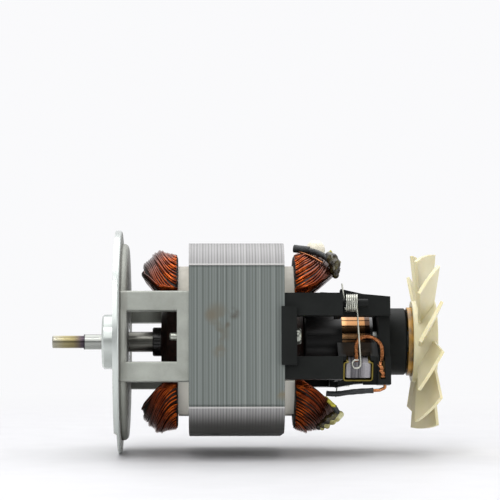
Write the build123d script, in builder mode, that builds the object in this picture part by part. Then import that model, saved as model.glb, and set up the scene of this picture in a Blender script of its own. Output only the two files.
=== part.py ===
from build123d import *
import os
from math import cos, degrees, pi, radians, sin, sqrt

# A universal motor with a die-cast flange at the drive end and a fan at the other.
# X runs along the shaft and Z is up. The origin is on the shaft's axis, on the
# flange's mounting face. The drive end points to -X.

# Flange and front bracket
flange_r = 44.0
flange_t = 2.5
step_r = 38.8
step_t = 2.7
rim_round = 0.8
step_round = 2.0
nose_r = 10.8
nose_len = 5.4
nose_chamfer = 0.8
nose_bore_gap = 0.4
rebate_z = 36.6
rebate_depth = 1.1
mount_pcd = 66.0
mount_hole_r = 2.6
mount_count = 4
frame_y_in = 30.2
frame_y_out = 37.4
frame_half_h = 17.3
front_window_half_h = 9.7
front_bar = 4.5
front_reach = 28.9
cast_fillet = 0.8

# Stator
stack_len = 36.6
stator_half_w = 38.0
stator_half_h = 36.7
side_flat_half = 26.7
top_flat_half = 24.0
corner_bulge = 2.2
bore_r = 21.0
shoe_r = 25.4
slot_r = 31.0
neck_angle = 20.0
pole_gap_angle = 26.0
groove_w = 1.0
groove_d = 0.7
liner_t = 0.5
liner_gap = 0.1
liner_reach = 4.2
liner_end_angle = 57.5

# Field coils
coil_gap = 0.2
coil_front_len = 18.6
coil_rear_len = 22.8
coil_out_r = 35.4
coil_in_r = 23.8
coil_round = 4.4
coil_rear_round = 3.0
coil_heel = 1.2
front_lean_in = 12.2
front_lean_out = 29.6
rear_lean_in = 14.4
rear_lean_out = 31.0
lean_over = 3.0
coil_half_angle = 56.0

# Through bolts
bolt_r = 1.5
bolt_edge = 4.0
bolt_hole_gap = 0.2
bolt_tip = 2.9
bolt_tip_edge = 0.5
bolt_head_r = 3.1
bolt_head_h = 1.9

# Shaft
shaft_r = 4.0
drive_r = 3.0
drive_end_r = 2.7
drive_len = 25.1
flat_len = 12.4
flat_half = 2.4
shaft_shoulder = 0.3
shaft_edge = 0.4

# Ball bearings
front_bearing_r = 9.5
front_bearing_w = 6.0
rear_bearing_r = 11.0
rear_bearing_w = 7.0
race_t = 1.5
groove_depth = 0.35
ball_count = 7
ball_gap = 0.06
cage_t = 0.55
cage_rim = 0.55
cage_gap = 0.12

# Armature
armature_r = 20.5
armature_slots = 12
slot_round_r = 2.9
slot_pitch_r = 15.4
slot_mouth = 1.8
wire_gap = 0.15
winding_r = 18.6
winding_front = 10.9
winding_rear = 8.2
wedge_t = 0.7
bush_r = 5.7
bush_len = 3.5
bush_edge = 0.4
wrap_r = 10.6
wrap_len = 15.2

# Commutator
comm_r = 10.8
comm_len = 10.9
comm_bars = 24
bar_depth = 3.0
bar_gap = 0.45
comm_collar = 1.2
comm_collar_r = 10.2

# Rear bracket
rear_frame_y_out = 37.2
rear_frame_y_in = 29.6
rear_half_h = 16.5
rear_frame_len = 22.2
rear_window_half_h = 7.8
foot_bar = 4.6
foot_half_h = 11.2
foot_t = 1.6
foot_lip = 1.3
foot_gap = 0.1
web_t = 2.4
web_rise = 0.9
beam_y_out = 23.6
beam_y_in = 15.4
beam_low = 8.6
beam_end_h = 15.2
rib_rise = 2.5
rib_end_h = 16.1
rib_run = 8.4
rib_mid_h = 17.1
end_wall_x = 102.5
end_wall_t = 4.4
end_wall_y = 19.6
block_y = 25.0
end_wall_low = 16.8
rotor_hole_r = 12.6
hub_r = 13.2
hub_lip = 1.2
hub_lip_r = 7.0
post_y = 27.6
post_z = 13.2
post_r = 1.6
post_len = 10.2

# Brushes and their tubes
brush_angle = 30.0
brush_w = 9.7
brush_h = 6.6
brush_out = 25.3
brush_fit = 0.4
brush_edge = 0.35
brush_round = 0.6
brush_travel = 8.0
brush_air = 0.08
tube_t = 0.5
tube_in = 12.4
tube_out = 25.9
tube_slot = 5.0
tube_seat = 0.1
holder_t = 1.9
holder_in = 13.2
holder_out = 25.2
holder_notch = 4.0
groove_count = 5
terminal_w = 3.9
terminal_z_top = 7.2
terminal_z_low = 18.0
pocket_w = 2.4
pocket_h = 7.2
pocket_floor = 2.0
pocket_depth = 6.0
terminal_fit = 0.05
terminal_back = 1.4
terminal_slit = 0.7

# Brush springs
wire_r = 0.3
spring_r = 3.2
spring_turns = 6
spring_pitch = 0.77
spring_start = 1.5
spring_rest = 0.1
leg_lean = 1.3
ring_r = 1.6
ring_z = -10.2
short_leg = 7.8

# Copper braids and coil leads
braid_r = 0.8
braid_inset = 1.9
lead_r = 1.0
lead_soft_bend = 9.0
lead_wide_bend = 18.0
lead_end_gap = 0.1
cutoff_r = 3.8
joint_sleeve_r = 1.55
joint_sleeve_len = 6.2

# Fan
fan_r = 34.4
fan_hub_r = 16.0
fan_hub_wall = 2.2
fan_hub_len = 9.4
fan_floor = 2.2
fan_boss_r = 7.2
fan_blades = 11
fan_phase = 14.8
blade_chord = 18.4
blade_t = 1.25
blade_pitch = 29.0
fan_gap = 2.4

# Places along the shaft
flange_back = flange_t + step_t
stack_x = front_reach
stack_end = stack_x + stack_len
bolt_y = stator_half_w - bolt_edge
rear_frame_x = stack_end
rear_window_x = rear_frame_x + foot_bar
web_x = rear_frame_x + rear_frame_len - web_t
beam_x = rear_frame_x + rear_frame_len
end_wall_end = end_wall_x + end_wall_t
winding_front_x = stack_x - winding_front
winding_rear_x = stack_end + winding_rear
wrap_x = winding_rear_x
comm_x = wrap_x + wrap_len
comm_end = comm_x + comm_len
tube_mid_x = comm_x + comm_len / 2
rear_bearing_x = end_wall_end - 0.8
hub_end = rear_bearing_x + rear_bearing_w + hub_lip
front_bearing_x = flange_back - front_bearing_w
fan_x = hub_end + fan_gap
fan_end = fan_x + fan_hub_len
tube_w = brush_w + 2 * (brush_fit + tube_t)
tube_h = brush_h + 2 * (brush_fit + tube_t)
holder_w = tube_w + 2 * (tube_seat + holder_t)
holder_h = tube_h + 2 * (tube_seat + holder_t)
pocket_x = tube_mid_x + holder_w / 2 + 0.2 + pocket_w / 2
pocket_z = -terminal_z_low + pocket_floor + pocket_h / 2


def radial_plane(angle):
    # A plane through the shaft's axis, with its own y pointing away from the axis.
    # The angle is taken from +Z towards -Y.
    a = radians(angle)
    return Plane(origin=(0, 0, 0), x_dir=(1, 0, 0), z_dir=(0, -cos(a), -sin(a)))


def sector(r_in, r_out, start, size):
    # A piece of a flat ring, angles in degrees.
    a0 = radians(start)
    a1 = radians(start + size)
    with BuildSketch() as piece:
        with BuildLine():
            CenterArc((0, 0), r_out, start, size)
            Line((r_out * cos(a1), r_out * sin(a1)), (r_in * cos(a1), r_in * sin(a1)))
            CenterArc((0, 0), r_in, start, size)
            Line((r_in * cos(a0), r_in * sin(a0)), (r_out * cos(a0), r_out * sin(a0)))
        make_face()
    return piece.sketch


def other_side(shape):
    # The same piece turned half way round the shaft.
    return shape.rotate(Axis.X, 180)


# Flange bracket
with BuildPart() as flange_bracket:
    with BuildSketch(Plane.YZ):
        Circle(flange_r)
    extrude(amount=flange_t)
    fillet(flange_bracket.edges().group_by(Axis.X)[-1], rim_round)
    with BuildSketch(Plane.YZ.offset(flange_t)):
        Circle(step_r)
    extrude(amount=step_t)
    fillet(flange_bracket.edges().group_by(Axis.X)[-1], step_round)
    with BuildSketch(Plane.YZ):
        Circle(nose_r)
    extrude(amount=-nose_len)
    chamfer(flange_bracket.edges().group_by(Axis.X)[0], nose_chamfer)
    # Rebate across the lower rim
    with BuildSketch(Plane.YZ):
        with Locations((0, -rebate_z)):
            Rectangle(2 * flange_r, flange_r, align=(Align.CENTER, Align.MAX))
    extrude(amount=rebate_depth, mode=Mode.SUBTRACT)
    # Two open side frames
    with BuildSketch(Plane.XZ.offset(frame_y_in)) as side_frame:
        with Locations((flange_t, 0)):
            Rectangle(front_reach - flange_t, 2 * frame_half_h, align=(Align.MIN, Align.CENTER))
        with Locations((flange_back, 0)):
            Rectangle(
                front_reach - front_bar - flange_back,
                2 * front_window_half_h,
                align=(Align.MIN, Align.CENTER),
                mode=Mode.SUBTRACT,
            )
    extrude(amount=frame_y_out - frame_y_in)
    with BuildSketch(Plane.XZ.offset(-frame_y_out)):
        add(side_frame.sketch_local)
    extrude(amount=frame_y_out - frame_y_in)
    # Bearing seat, shaft hole and tapped holes for the through bolts
    with BuildSketch(Plane.YZ.offset(front_bearing_x)):
        Circle(front_bearing_r)
    extrude(amount=front_bearing_w, mode=Mode.SUBTRACT)
    with BuildSketch(Plane.YZ.offset(-nose_len)):
        Circle(shaft_r + race_t + nose_bore_gap)
    extrude(amount=nose_len + front_bearing_w, mode=Mode.SUBTRACT)
    with BuildSketch(Plane.YZ.offset(front_reach - front_bar)):
        with Locations((-bolt_y, 0), (bolt_y, 0)):
            Circle(bolt_r)
    extrude(amount=front_bar, mode=Mode.SUBTRACT)
    # Mounting holes
    with BuildSketch(Plane.YZ):
        with PolarLocations(mount_pcd / 2, mount_count, start_angle=45):
            Circle(mount_hole_r)
    extrude(amount=flange_back, mode=Mode.SUBTRACT)
    long_edges = (
        flange_bracket.edges()
        .filter_by(Axis.X)
        .filter_by(lambda e: abs(abs(e.center().Y) - frame_y_out) < 0.01)
    )
    fillet(long_edges, cast_fillet)
flange_bracket.part.label = "flange_bracket"


# Stator laminations with two salient poles
corner_mid_y = (stator_half_w + top_flat_half) / 2
corner_mid_z = (stator_half_h + side_flat_half) / 2
corner_run = (stator_half_w - top_flat_half, stator_half_h - side_flat_half)
corner_chord = sqrt(corner_run[0] ** 2 + corner_run[1] ** 2)
corner_y = corner_mid_y + corner_bulge * corner_run[1] / corner_chord
corner_z = corner_mid_z + corner_bulge * corner_run[0] / corner_chord
with BuildPart() as stator_laminations:
    with BuildSketch(Plane.YZ.offset(stack_x)):
        with BuildLine():
            Line((0, stator_half_h), (top_flat_half, stator_half_h))
            ThreePointArc(
                (top_flat_half, stator_half_h),
                (corner_y, corner_z),
                (stator_half_w, side_flat_half),
            )
            Line((stator_half_w, side_flat_half), (stator_half_w, 0))
            mirror(about=Plane.XZ)
            mirror(about=Plane.YZ)
        make_face()
        Circle(bore_r, mode=Mode.SUBTRACT)
        for side in (0, 180):
            add(
                sector(shoe_r, slot_r, side - 90 + neck_angle, 180 - 2 * neck_angle),
                mode=Mode.SUBTRACT,
            )
            add(
                sector(bore_r - 1, shoe_r + 1, side - pole_gap_angle, 2 * pole_gap_angle),
                mode=Mode.SUBTRACT,
            )
        with Locations((-bolt_y, 0), (bolt_y, 0)):
            Circle(bolt_r + bolt_hole_gap, mode=Mode.SUBTRACT)
        for y in (-stator_half_w, stator_half_w):
            for z in (-side_flat_half, side_flat_half):
                with Locations((y, z)):
                    Rectangle(2 * groove_d, groove_w, mode=Mode.SUBTRACT)
    extrude(amount=stack_len)
stator_laminations.part.label = "stator_laminations"

# Four slot liners round the coil sides
liner_in = shoe_r + liner_gap
liner_out = slot_r - liner_gap
liner_start = neck_angle + 0.4
liner_span = liner_end_angle - liner_start
with BuildPart() as slot_liners:
    with BuildSketch(Plane.YZ.offset(stack_x - liner_reach)):
        for pole in (90, 270):
            for start in (liner_start, -liner_end_angle):
                add(sector(liner_in, liner_out, pole + start, liner_span))
                add(
                    sector(
                        liner_in + liner_t,
                        liner_out - liner_t,
                        pole + start + 1.0,
                        liner_span - 2.0,
                    ),
                    mode=Mode.SUBTRACT,
                )
    extrude(amount=stack_len + 2 * liner_reach)
slot_liners.part.label = "slot_liners"

# Field coils, each one bundle through two slots and round both ends of the stack
coil_front_x = stack_x - coil_front_len
coil_rear_x = stack_end + coil_rear_len
front_face_x = stack_x - liner_reach - coil_gap
rear_face_x = stack_end + liner_reach + coil_gap
side_in = liner_in + liner_t + coil_gap
side_out = liner_out - liner_t - coil_gap
side_start = liner_start + 1.6
side_span = liner_span - 3.2
with BuildPart() as upper_field_coil:
    # End turn towards the flange
    with BuildSketch(radial_plane(-coil_half_angle)):
        with BuildLine():
            Polyline(
                (front_face_x, coil_in_r),
                (front_face_x, coil_out_r - 1.5),
                (coil_front_x + 6.6, coil_out_r),
                (coil_front_x + 1.2, coil_out_r - 4.6),
                (coil_front_x, coil_in_r + 1.6),
                (coil_front_x + 5.0, coil_in_r - 1.0),
                close=True,
            )
        front_turn = make_face()
        fillet(front_turn.vertices().group_by(Axis.X)[-1], coil_heel)
        fillet(front_turn.vertices().sort_by(Axis.X)[:4], coil_round)
    revolve(axis=Axis.X, revolution_arc=2 * coil_half_angle)
    # End turn towards the fan
    with BuildSketch(radial_plane(-coil_half_angle)):
        with BuildLine():
            Polyline(
                (rear_face_x, coil_in_r),
                (rear_face_x, coil_out_r - 1.6),
                (rear_face_x + 4.0, coil_out_r),
                (coil_rear_x - 8.0, coil_out_r - 1.2),
                (coil_rear_x, coil_in_r + 5.4),
                (coil_rear_x - 1.4, coil_in_r + 1.0),
                (coil_rear_x - 8.0, coil_in_r - 1.0),
                close=True,
            )
        rear_turn = make_face()
        fillet(rear_turn.vertices().group_by(Axis.X)[0], coil_heel)
        fillet(rear_turn.vertices().sort_by(Axis.X)[-5:], coil_rear_round)
    revolve(axis=Axis.X, revolution_arc=2 * coil_half_angle)
    # The sides of the end turns lean out from the slots
    with BuildSketch(Plane.XZ.offset(slot_r + 5)):
        with BuildLine():
            Polyline(
                (coil_front_x - lean_over, front_lean_out),
                (front_face_x + 0.01, front_lean_in),
                (front_face_x + 0.01, 0),
                (coil_front_x - lean_over, 0),
                close=True,
            )
        make_face()
        with BuildLine():
            Polyline(
                (rear_face_x - 0.01, rear_lean_in),
                (coil_rear_x + lean_over, rear_lean_out),
                (coil_rear_x + lean_over, 0),
                (rear_face_x - 0.01, 0),
                close=True,
            )
        make_face()
    extrude(amount=-2 * (slot_r + 5), mode=Mode.SUBTRACT)
    # Coil sides in the slots
    with BuildSketch(Plane.YZ.offset(front_face_x - 1.0)):
        add(sector(side_in, side_out, 90 + side_start, side_span))
        add(sector(side_in, side_out, 90 - side_start - side_span, side_span))
    extrude(amount=rear_face_x - front_face_x + 2.0)
upper_field_coil.part.label = "upper_field_coil"

with BuildPart() as lower_field_coil:
    add(other_side(upper_field_coil.part))
lower_field_coil.part.label = "lower_field_coil"

# Two through bolts with domed heads
with BuildPart() as stator_bolts:
    with BuildSketch(Plane.YZ.offset(front_reach - front_bar - bolt_tip)):
        with Locations((-bolt_y, 0), (bolt_y, 0)):
            Circle(bolt_r)
    extrude(amount=front_bar + bolt_tip + stack_len + foot_bar)
    chamfer(stator_bolts.edges().group_by(Axis.X)[0], bolt_tip_edge)
    with BuildSketch(Plane.YZ.offset(rear_window_x)):
        with Locations((-bolt_y, 0), (bolt_y, 0)):
            Circle(bolt_head_r)
    extrude(amount=bolt_head_h)
    fillet(stator_bolts.edges().group_by(Axis.X)[-1], bolt_head_h * 0.6)
stator_bolts.part.label = "stator_bolts"


# Rear bracket, built as one half and turned round the shaft for the other
brush_dir = (0, -cos(radians(brush_angle)), -sin(radians(brush_angle)))


def brush_plane(distance):
    # Across the near brush at a distance from the shaft; its x is along the shaft.
    origin = (tube_mid_x, brush_dir[1] * distance, brush_dir[2] * distance)
    return Plane(origin=origin, x_dir=(1, 0, 0), z_dir=brush_dir)


with BuildPart() as rear_half:
    # Side frame, open towards the commutator
    with BuildSketch(Plane.XZ.offset(rear_frame_y_in)):
        with Locations((rear_frame_x, 0)):
            Rectangle(rear_frame_len, 2 * rear_half_h, align=(Align.MIN, Align.CENTER))
        with Locations((rear_window_x, 0)):
            Rectangle(
                beam_x + 1 - rear_window_x,
                2 * rear_window_half_h,
                align=(Align.MIN, Align.CENTER),
                mode=Mode.SUBTRACT,
            )
    extrude(amount=rear_frame_y_out - rear_frame_y_in)
    # Foot with a lip over the edge of the stack
    with BuildSketch(Plane.XZ.offset(rear_frame_y_out)):
        with Locations((rear_frame_x, 0)):
            Rectangle(foot_bar, 2 * foot_half_h, align=(Align.MIN, Align.CENTER))
    extrude(amount=stator_half_w - rear_frame_y_out + foot_gap + foot_t)
    with BuildSketch(Plane.XZ.offset(stator_half_w + foot_gap)):
        with Locations((rear_frame_x - foot_lip, 0)):
            Rectangle(foot_lip + foot_bar, 2 * foot_half_h, align=(Align.MIN, Align.CENTER))
    extrude(amount=foot_t)
    # Cross web behind the side frame
    with BuildSketch(Plane.YZ.offset(web_x)):
        with BuildLine():
            Polyline(
                (-rear_frame_y_out, -rear_half_h),
                (-rear_frame_y_out, rear_half_h),
                (-beam_y_in, rear_half_h + web_rise),
                (-beam_y_in, -rear_half_h),
                close=True,
            )
        make_face()
        Circle(rotor_hole_r + 4, mode=Mode.SUBTRACT)
        Rectangle(2 * rear_frame_y_out + 2, 2 * rear_window_half_h, mode=Mode.SUBTRACT)
    extrude(amount=web_t)
    # Upper beam, falling towards the fan
    with BuildSketch(Plane.XZ.offset(beam_y_in)):
        with BuildLine():
            Polyline(
                (beam_x - 0.01, beam_low),
                (beam_x - 0.01, rear_half_h + web_rise),
                (beam_x + 6.8, beam_end_h + 0.9),
                (end_wall_end, beam_end_h),
                (end_wall_end, beam_low),
                close=True,
            )
        make_face()
    extrude(amount=beam_y_out - beam_y_in)
    # Half of the end wall
    with BuildSketch(Plane.YZ.offset(end_wall_x)):
        with BuildLine():
            Polyline(
                (0, -end_wall_low),
                (0, beam_end_h),
                (-end_wall_y, beam_end_h),
                (-end_wall_y, -end_wall_low),
                close=True,
            )
        make_face()
    extrude(amount=end_wall_t)
    # Brush holder, standing out from the shaft
    with BuildSketch(brush_plane(holder_in)):
        Rectangle(holder_w, holder_h)
    extrude(amount=holder_out - holder_in)
    # Terminal block beside the brush
    with BuildSketch(Plane.XZ.offset(beam_y_in)):
        with Locations((tube_mid_x + holder_w / 2 - 0.2, -terminal_z_top)):
            Rectangle(
                end_wall_end - tube_mid_x - holder_w / 2 + 0.2,
                terminal_z_low - terminal_z_top,
                align=(Align.MIN, Align.MAX),
            )
    extrude(amount=block_y - beam_y_in)
    # Wall from the holder to the side frame
    with BuildSketch(Plane.YZ.offset(beam_x - 0.01)):
        with BuildLine():
            Polyline(
                (-beam_y_in, -rear_half_h),
                (-beam_y_out, -rear_half_h),
                (-beam_y_out, -beam_low),
                (-beam_y_in, -beam_low),
                close=True,
            )
        make_face()
    extrude(amount=tube_mid_x - holder_w / 2 - beam_x + 0.3)
    # Hole through the holder, its open top and its bottom notch
    with BuildSketch(brush_plane(0)):
        Rectangle(tube_w + 2 * tube_seat, tube_h + 2 * tube_seat)
    extrude(amount=holder_out + 2, mode=Mode.SUBTRACT)
    with BuildSketch(brush_plane(holder_out - 4.0)):
        with Locations((0, holder_h / 2)):
            Rectangle(tube_slot + 4.4, holder_h / 2, mode=Mode.ADD)
        with Locations((0, -holder_h / 2)):
            Rectangle(holder_notch, holder_h / 2)
    extrude(amount=5.0, mode=Mode.SUBTRACT)
    # Room for the commutator
    with BuildSketch(Plane.YZ.offset(beam_x - 5)):
        Circle(rotor_hole_r)
    extrude(amount=end_wall_x - beam_x + 5, mode=Mode.SUBTRACT)
    # Pocket for the terminal, open above
    with BuildSketch(Plane.XZ.offset(block_y)):
        with Locations((pocket_x, pocket_z - pocket_h / 2)):
            Rectangle(
                pocket_w,
                terminal_z_low - terminal_z_top,
                align=(Align.CENTER, Align.MIN),
            )
    extrude(amount=-pocket_depth, mode=Mode.SUBTRACT)
    # Post for the brush spring
    with BuildSketch(Plane.YZ.offset(beam_x)):
        with Locations((-post_y, post_z)):
            Circle(post_r)
    extrude(amount=post_len)

with BuildPart() as rear_bracket:
    add(rear_half.part)
    add(other_side(rear_half.part))
    # Rib along the near beam, highest at the side frame
    with BuildSketch(Plane.XZ.offset(beam_y_in)):
        with BuildLine():
            Polyline(
                (beam_x - 0.01, beam_end_h - 1.0),
                (beam_x - 0.01, rear_half_h + rib_rise),
                (beam_x + rib_run, rib_mid_h),
                (end_wall_end, rib_end_h),
                (end_wall_end, beam_end_h - 1.0),
                close=True,
            )
        make_face()
    extrude(amount=beam_y_out - beam_y_in)
    # Bearing hub
    with BuildSketch(Plane.YZ.offset(end_wall_end - 0.01)):
        Circle(hub_r)
    extrude(amount=hub_end - end_wall_end + 0.01)
    with BuildSketch(Plane.YZ.offset(end_wall_x - 1)):
        Circle(hub_lip_r)
    extrude(amount=hub_end - end_wall_x + 2, mode=Mode.SUBTRACT)
    with BuildSketch(Plane.YZ.offset(end_wall_x - 1)):
        Circle(rear_bearing_r)
    extrude(amount=rear_bearing_x + rear_bearing_w - end_wall_x + 1, mode=Mode.SUBTRACT)
    # Holes for the through bolts
    with BuildSketch(Plane.YZ.offset(rear_frame_x)):
        with Locations((-bolt_y, 0), (bolt_y, 0)):
            Circle(bolt_r + bolt_hole_gap)
    extrude(amount=foot_bar, mode=Mode.SUBTRACT)
    hub_edge = rear_bracket.edges().group_by(Axis.X)[-1].sort_by(SortBy.RADIUS)[-1]
    chamfer(hub_edge, 0.6)
rear_bracket.part.label = "rear_bracket"


# Ball bearings: outer rings, inner rings, balls and cages
def ball_radius(outer_r):
    # The balls run half in the grooves of both rings.
    return (outer_r - shaft_r - 2 * race_t) / 2 + groove_depth


def race(outer_r, width, x, outer):
    # One ring of a bearing, with the ball groove.
    ball_r = ball_radius(outer_r)
    pitch_r = (outer_r + shaft_r) / 2
    with BuildPart() as ring:
        with BuildSketch(Plane.YZ.offset(x)):
            if outer:
                Circle(outer_r)
                Circle(outer_r - race_t, mode=Mode.SUBTRACT)
            else:
                Circle(shaft_r + race_t)
                Circle(shaft_r, mode=Mode.SUBTRACT)
        extrude(amount=width)
        with BuildSketch(Plane.XZ) as groove:
            with Locations((x + width / 2, pitch_r)):
                Circle(ball_r + ball_gap)
        revolve(axis=Axis.X, mode=Mode.SUBTRACT)
    return ring.part


def balls(outer_r, width, x):
    ball_r = ball_radius(outer_r)
    pitch_r = (outer_r + shaft_r) / 2
    with BuildPart() as ring:
        with Locations(Plane.YZ.offset(x + width / 2)):
            with PolarLocations(pitch_r, ball_count):
                Sphere(ball_r)
    return ring.part


def cage(outer_r, width, x):
    ball_r = ball_radius(outer_r)
    pitch_r = (outer_r + shaft_r) / 2
    with BuildPart() as ring:
        with BuildSketch(Plane.YZ.offset(x + width / 2 - ball_r - cage_rim)):
            Circle(pitch_r + cage_t)
            Circle(pitch_r - cage_t, mode=Mode.SUBTRACT)
        extrude(amount=2 * (ball_r + cage_rim))
        for n in range(ball_count):
            a = 2 * pi * n / ball_count
            with BuildSketch(Plane(origin=(x + width / 2, 0, 0), z_dir=(0, cos(a), sin(a)))):
                Circle(ball_r + cage_gap)
            extrude(amount=outer_r, mode=Mode.SUBTRACT)
    return ring.part


with BuildPart() as front_bearing_outer_ring:
    add(race(front_bearing_r, front_bearing_w, front_bearing_x, True))
front_bearing_outer_ring.part.label = "front_bearing_outer_ring"

with BuildPart() as front_bearing_inner_ring:
    add(race(front_bearing_r, front_bearing_w, front_bearing_x, False))
front_bearing_inner_ring.part.label = "front_bearing_inner_ring"

with BuildPart() as front_bearing_balls:
    add(balls(front_bearing_r, front_bearing_w, front_bearing_x))
front_bearing_balls.part.label = "front_bearing_balls"

with BuildPart() as front_bearing_cage:
    add(cage(front_bearing_r, front_bearing_w, front_bearing_x))
front_bearing_cage.part.label = "front_bearing_cage"

with BuildPart() as rear_bearing_outer_ring:
    add(race(rear_bearing_r, rear_bearing_w, rear_bearing_x, True))
rear_bearing_outer_ring.part.label = "rear_bearing_outer_ring"

with BuildPart() as rear_bearing_inner_ring:
    add(race(rear_bearing_r, rear_bearing_w, rear_bearing_x, False))
rear_bearing_inner_ring.part.label = "rear_bearing_inner_ring"

with BuildPart() as rear_bearing_balls:
    add(balls(rear_bearing_r, rear_bearing_w, rear_bearing_x))
rear_bearing_balls.part.label = "rear_bearing_balls"

with BuildPart() as rear_bearing_cage:
    add(cage(rear_bearing_r, rear_bearing_w, rear_bearing_x))
rear_bearing_cage.part.label = "rear_bearing_cage"


# Shaft with the flatted drive end
with BuildPart() as shaft:
    with BuildSketch(Plane.YZ.offset(-drive_len)):
        Circle(drive_end_r)
    extrude(amount=flat_len)
    chamfer(shaft.edges().group_by(Axis.X)[0], shaft_edge)
    with BuildSketch(Plane.YZ.offset(-drive_len)):
        with Locations((0, flat_half), (0, -flat_half - drive_r)):
            Rectangle(2 * drive_r, drive_r, align=(Align.CENTER, Align.MIN))
    extrude(amount=flat_len, mode=Mode.SUBTRACT)
    with BuildSketch(Plane.YZ.offset(flat_len - drive_len)):
        Circle(drive_r)
    extrude(amount=drive_len - flat_len - nose_len)
    with BuildSketch(Plane.YZ.offset(-nose_len - shaft_shoulder)):
        Circle(shaft_r)
    extrude(amount=fan_end + nose_len + shaft_shoulder)
shaft.part.label = "shaft"

# Armature core with twelve half-closed slots
with BuildPart() as armature_core:
    with BuildSketch(Plane.YZ.offset(stack_x)):
        Circle(armature_r)
        Circle(shaft_r, mode=Mode.SUBTRACT)
        with PolarLocations(slot_pitch_r, armature_slots):
            Circle(slot_round_r, mode=Mode.SUBTRACT)
            with Locations((armature_r - slot_pitch_r, 0)):
                Rectangle(
                    2 * (armature_r - slot_pitch_r),
                    slot_mouth,
                    mode=Mode.SUBTRACT,
                )
    extrude(amount=stack_len)
armature_core.part.label = "armature_core"

# Armature windings: the slot bundles and both end turns
with BuildPart() as armature_windings:
    with BuildSketch(Plane.YZ.offset(stack_x - 0.5)):
        with PolarLocations(slot_pitch_r, armature_slots):
            Circle(slot_round_r - wire_gap)
    extrude(amount=stack_len + 1.0)
    with BuildSketch(Plane.XZ):
        with BuildLine():
            Polyline(
                (winding_front_x, shaft_r + 0.1),
                (winding_front_x, winding_r - 7.4),
                (winding_front_x + 2.4, winding_r - 2.4),
                (winding_front_x + 6.4, winding_r),
                (stack_x, winding_r),
                (stack_x, shaft_r + 0.1),
                close=True,
            )
        make_face()
        with BuildLine():
            Polyline(
                (stack_end, shaft_r + 0.1),
                (stack_end, winding_r),
                (stack_end + 3.4, winding_r),
                (winding_rear_x - 1.6, winding_r - 3.6),
                (winding_rear_x, wrap_r),
                (winding_rear_x, shaft_r + 0.1),
                close=True,
            )
        make_face()
    revolve(axis=Axis.X)
armature_windings.part.label = "armature_windings"

# Wedges that close the slot mouths
wedge_in = slot_pitch_r + slot_round_r + 0.1
with BuildPart() as slot_wedges:
    with BuildSketch(Plane.YZ.offset(stack_x)):
        with PolarLocations(wedge_in + wedge_t / 2, armature_slots):
            Rectangle(wedge_t, slot_mouth - 0.1)
    extrude(amount=stack_len)
slot_wedges.part.label = "slot_wedges"

# Insulating bush on the shaft, before the winding
with BuildPart() as shaft_bush:
    with BuildSketch(Plane.YZ.offset(winding_front_x - bush_len)):
        Circle(bush_r)
        Circle(shaft_r, mode=Mode.SUBTRACT)
    extrude(amount=bush_len)
    chamfer(shaft_bush.edges().group_by(Axis.X)[0].sort_by(SortBy.RADIUS)[-1], bush_edge)
shaft_bush.part.label = "shaft_bush"

# Sleeve bound over the commutator leads
with BuildPart() as lead_wrap:
    with BuildSketch(Plane.YZ.offset(wrap_x)):
        Circle(wrap_r)
        Circle(shaft_r, mode=Mode.SUBTRACT)
    extrude(amount=wrap_len)
    fillet(lead_wrap.edges().group_by(Axis.X)[0].sort_by(SortBy.RADIUS)[-1], 1.2)
lead_wrap.part.label = "lead_wrap"

# Commutator: moulded core and copper bars
bar_in = comm_r - bar_depth
with BuildPart() as commutator_core:
    with BuildSketch(Plane.YZ.offset(comm_x)):
        Circle(bar_in)
        Circle(shaft_r, mode=Mode.SUBTRACT)
    extrude(amount=comm_len)
    with BuildSketch(Plane.YZ.offset(comm_end)):
        Circle(comm_collar_r)
        Circle(shaft_r, mode=Mode.SUBTRACT)
    extrude(amount=comm_collar)
commutator_core.part.label = "commutator_core"

bar_span = 360 / comm_bars - degrees(bar_gap / comm_r)
with BuildPart() as commutator_bars:
    with BuildSketch(Plane.YZ.offset(comm_x)):
        for bar in range(comm_bars):
            add(sector(bar_in, comm_r, bar * 360 / comm_bars, bar_span))
    extrude(amount=comm_len)
commutator_bars.part.label = "commutator_bars"


# Fan: a cup-shaped hub with pitched blades
blade_plane_x = fan_x + fan_hub_len / 2 + 0.4
with BuildPart() as fan_hub:
    with BuildSketch(Plane.YZ.offset(fan_x)):
        Circle(fan_hub_r)
    extrude(amount=fan_hub_len)
    with BuildSketch(Plane.YZ.offset(fan_x)):
        Circle(fan_hub_r - fan_hub_wall)
    extrude(amount=fan_hub_len - fan_floor, mode=Mode.SUBTRACT)
    with BuildSketch(Plane.YZ.offset(fan_x)):
        Circle(fan_boss_r)
    extrude(amount=fan_hub_len)
    with BuildSketch(Plane.YZ.offset(fan_x)):
        Circle(shaft_r)
    extrude(amount=fan_hub_len, mode=Mode.SUBTRACT)

with BuildPart() as blade:
    with BuildSketch(Plane.XY.offset(fan_hub_r - 1.2)):
        with Locations((blade_plane_x, 0)):
            with Locations(Rotation(0, 0, 90 - blade_pitch)):
                Rectangle(blade_chord * 0.66, blade_t)
    with BuildSketch(Plane.XY.offset(fan_r)):
        with Locations((blade_plane_x, 0)):
            with Locations(Rotation(0, 0, 90 - blade_pitch)):
                Rectangle(blade_chord, blade_t)
    loft()

with BuildPart() as blade_room:
    with BuildSketch(Plane.YZ.offset(fan_x - 12)):
        Circle(fan_r)
        Circle(fan_hub_r - 0.6, mode=Mode.SUBTRACT)
    extrude(amount=fan_hub_len + 24)

with BuildPart() as fan:
    for n in range(fan_blades):
        add(blade.part.rotate(Axis.X, fan_phase + n * 360 / fan_blades))
    add(blade_room.part, mode=Mode.INTERSECT)
    add(fan_hub.part)
fan.part.label = "fan"


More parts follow.
